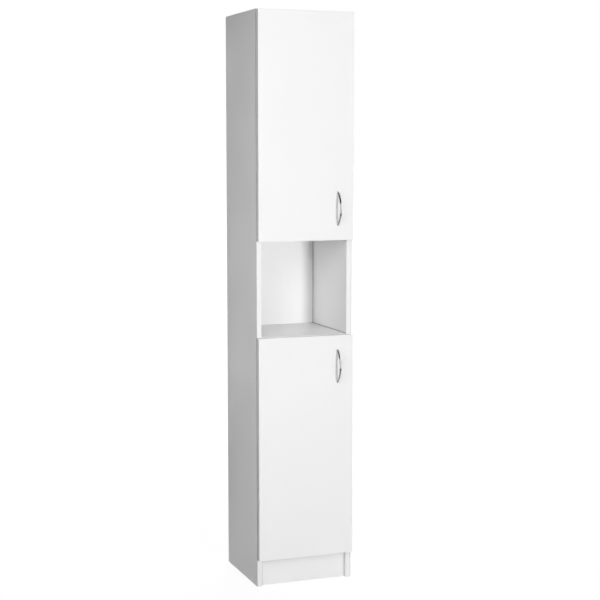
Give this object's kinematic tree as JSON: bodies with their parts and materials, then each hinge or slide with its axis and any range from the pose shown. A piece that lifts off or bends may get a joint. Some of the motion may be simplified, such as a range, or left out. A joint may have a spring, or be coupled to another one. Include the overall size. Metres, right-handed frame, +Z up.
{
  "type": "tall bathroom cabinet",
  "caption": "Tall narrow free-standing bathroom cabinet with a door above and a door below an open niche, bow handles, inner shelves and a recessed plinth.",
  "frame": {"origin": "on the floor under the middle of the bounding box", "axes": "+X to the right, +Y to the rear, +Z up; the doors face -Y"},
  "size_m": [0.3, 0.3278, 1.7],
  "materials": {
    "white_board": "white melamine faced chipboard, satin",
    "door_lacquer": "white foil faced board, semi-gloss",
    "back_board": "thin fibreboard, white inside, brown outside",
    "beech": "raw fluted beech",
    "chrome_handle": "polished chrome plate",
    "nickel_steel": "nickel plated steel",
    "zinc": "die-cast zinc, dull",
    "white_plastic": "white moulded plastic",
    "grey_plastic": "hard grey plastic",
    "clear_rubber": "milky soft plastic"
  },
  "bodies": {
    "root": {"back_panel": "back_board", "back_panel_nails": "nickel_steel", "bottom_panel": "white_board", "cam_bolts": "nickel_steel", "cam_cover_caps": "white_plastic", "cam_locks": "zinc", "dowels": "beech", "floor_glides": "grey_plastic", "hinge_adjusting_screws": "nickel_steel", "hinge_arm_pins": "nickel_steel", "hinge_arm_screws": "nickel_steel", "hinge_plate_screws": "nickel_steel", "left_side_panel": "white_board", "left_wall_bracket": "nickel_steel", "lower_door_high_hinge_arm": "nickel_steel", "lower_door_high_hinge_plate": "nickel_steel", "lower_door_low_hinge_arm": "nickel_steel", "lower_door_low_hinge_plate": "nickel_steel", "lower_shelf_1": "white_board", "lower_shelf_2": "white_board", "niche_ceiling_panel": "white_board", "niche_floor_panel": "white_board", "plinth_board": "white_board", "right_side_panel": "white_board", "right_wall_bracket": "nickel_steel", "shelf_pins": "zinc", "top_panel": "white_board", "upper_door_high_hinge_arm": "nickel_steel", "upper_door_high_hinge_plate": "nickel_steel", "upper_door_low_hinge_arm": "nickel_steel", "upper_door_low_hinge_plate": "nickel_steel", "upper_shelf_1": "white_board", "upper_shelf_2": "white_board", "wall_bracket_screws": "nickel_steel"},
    "upper_links": {"upper_door_high_hinge_link": "nickel_steel", "upper_door_low_hinge_link": "nickel_steel"},
    "upper_door": {"upper_door": "door_lacquer", "upper_door_bumpers": "clear_rubber", "upper_door_high_hinge_cup": "nickel_steel", "upper_door_low_hinge_cup": "nickel_steel", "upper_handle": "chrome_handle", "upper_handle_screws": "nickel_steel", "upper_hinge_cup_pins": "nickel_steel", "upper_hinge_cup_screws": "nickel_steel"},
    "lower_links": {"lower_door_high_hinge_link": "nickel_steel", "lower_door_low_hinge_link": "nickel_steel"},
    "lower_door": {"lower_door": "door_lacquer", "lower_door_bumpers": "clear_rubber", "lower_door_high_hinge_cup": "nickel_steel", "lower_door_low_hinge_cup": "nickel_steel", "lower_handle": "chrome_handle", "lower_handle_screws": "nickel_steel", "lower_hinge_cup_pins": "nickel_steel", "lower_hinge_cup_screws": "nickel_steel"}
  },
  "joints": [
    {"name": "upper_link_swing", "type": "hinge", "parent": "root", "child": "upper_links", "pos_m": [-0.117, -0.11413, 1.3655], "axis": [0, 0, 1], "range_deg": [0, 42]},
    {"name": "upper_door_swing", "type": "hinge", "parent": "upper_links", "child": "upper_door", "pos_m": [-0.138, -0.12312, 1.3655], "axis": [0, 0, -1], "range_deg": [0, 147]},
    {"name": "lower_link_swing", "type": "hinge", "parent": "root", "child": "lower_links", "pos_m": [-0.117, -0.11413, 0.4165], "axis": [0, 0, 1], "range_deg": [0, 42]},
    {"name": "lower_door_swing", "type": "hinge", "parent": "lower_links", "child": "lower_door", "pos_m": [-0.138, -0.12312, 0.4165], "axis": [0, 0, -1], "range_deg": [0, 147]}
  ],
  "couplings": [
    {"joint": "upper_link_swing", "follows": "upper_door_swing", "ratio": 0.2857},
    {"joint": "lower_link_swing", "follows": "lower_door_swing", "ratio": 0.2857}
  ]
}
